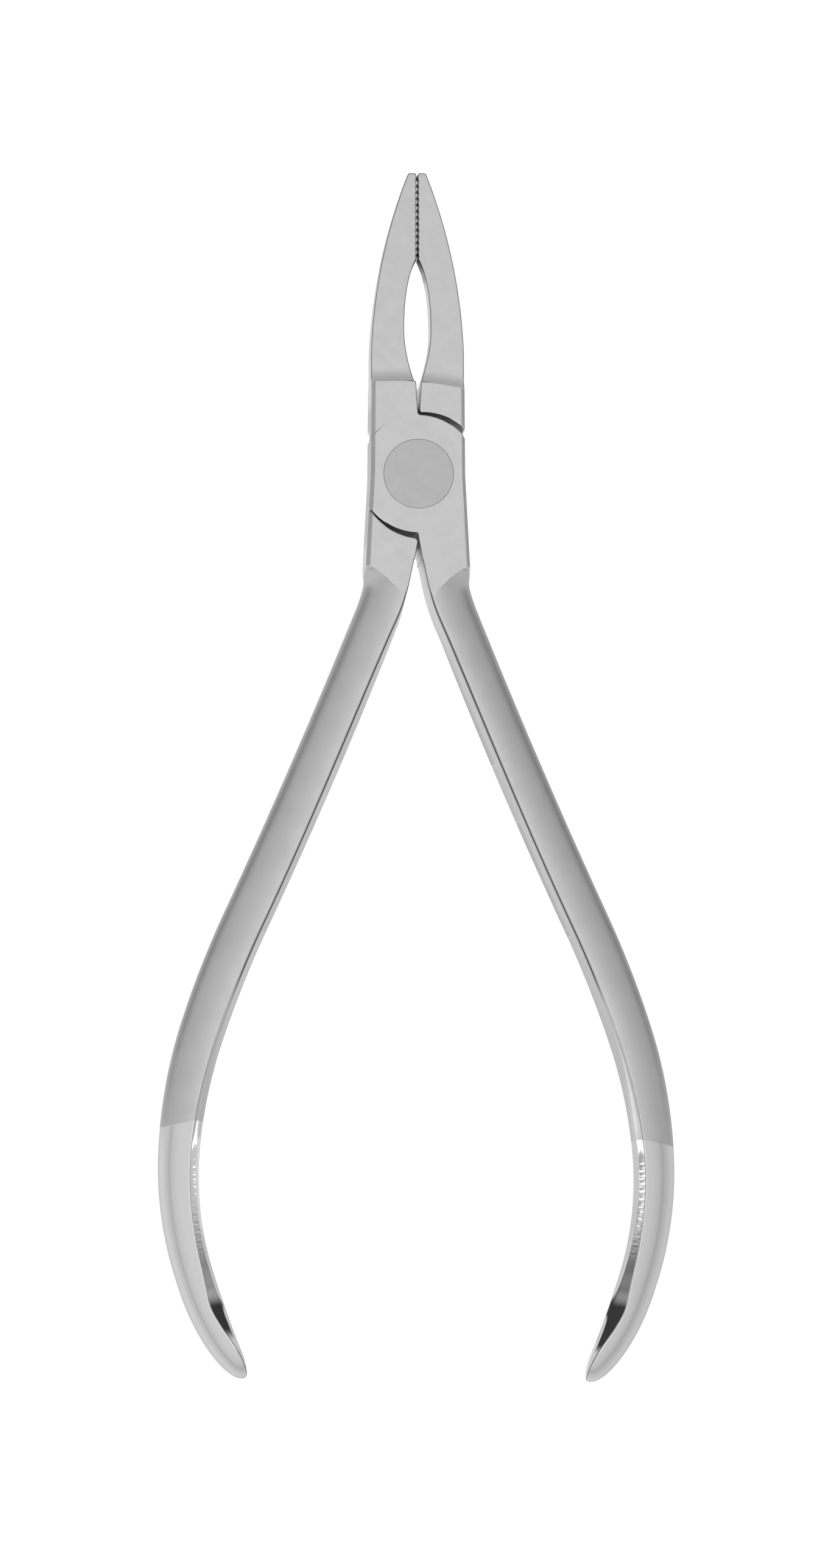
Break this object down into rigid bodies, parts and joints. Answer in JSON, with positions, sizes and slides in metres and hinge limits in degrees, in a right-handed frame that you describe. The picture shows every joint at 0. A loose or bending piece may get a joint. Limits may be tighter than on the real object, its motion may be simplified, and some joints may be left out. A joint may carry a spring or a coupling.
{
  "type": "dental pliers",
  "caption": "Slim straight-jaw dental pliers: serrated tips, an eye behind them, a lap joint turning on a flush riveted pin, and bowed handles with polished ends.",
  "frame": {"origin": "on the pin's axis, in the back face of the joint, where the riveted tail is flush", "axes": "+Y towards the jaws, +Z along the pin towards its head, +X towards the handle of the upper half"},
  "size_m": [0.0592, 0.1394, 0.0072],
  "materials": {
    "upper_steel": "satin stainless steel, mirror-polished over the last third of the handle",
    "lower_steel": "satin stainless steel, mirror-polished over the last third of the handle",
    "pin_steel": "ground flush with the joint, a shade darker"
  },
  "bodies": {
    "lower": {"lower_half": "lower_steel", "pivot_pin": "pin_steel"},
    "upper": {"upper_half": "upper_steel"}
  },
  "joints": [
    {"name": "jaw_hinge", "type": "hinge", "parent": "lower", "child": "upper", "pos_m": [0, 0, 0.0036], "axis": [0, 0, 1], "range_deg": [0, 80]}
  ]
}
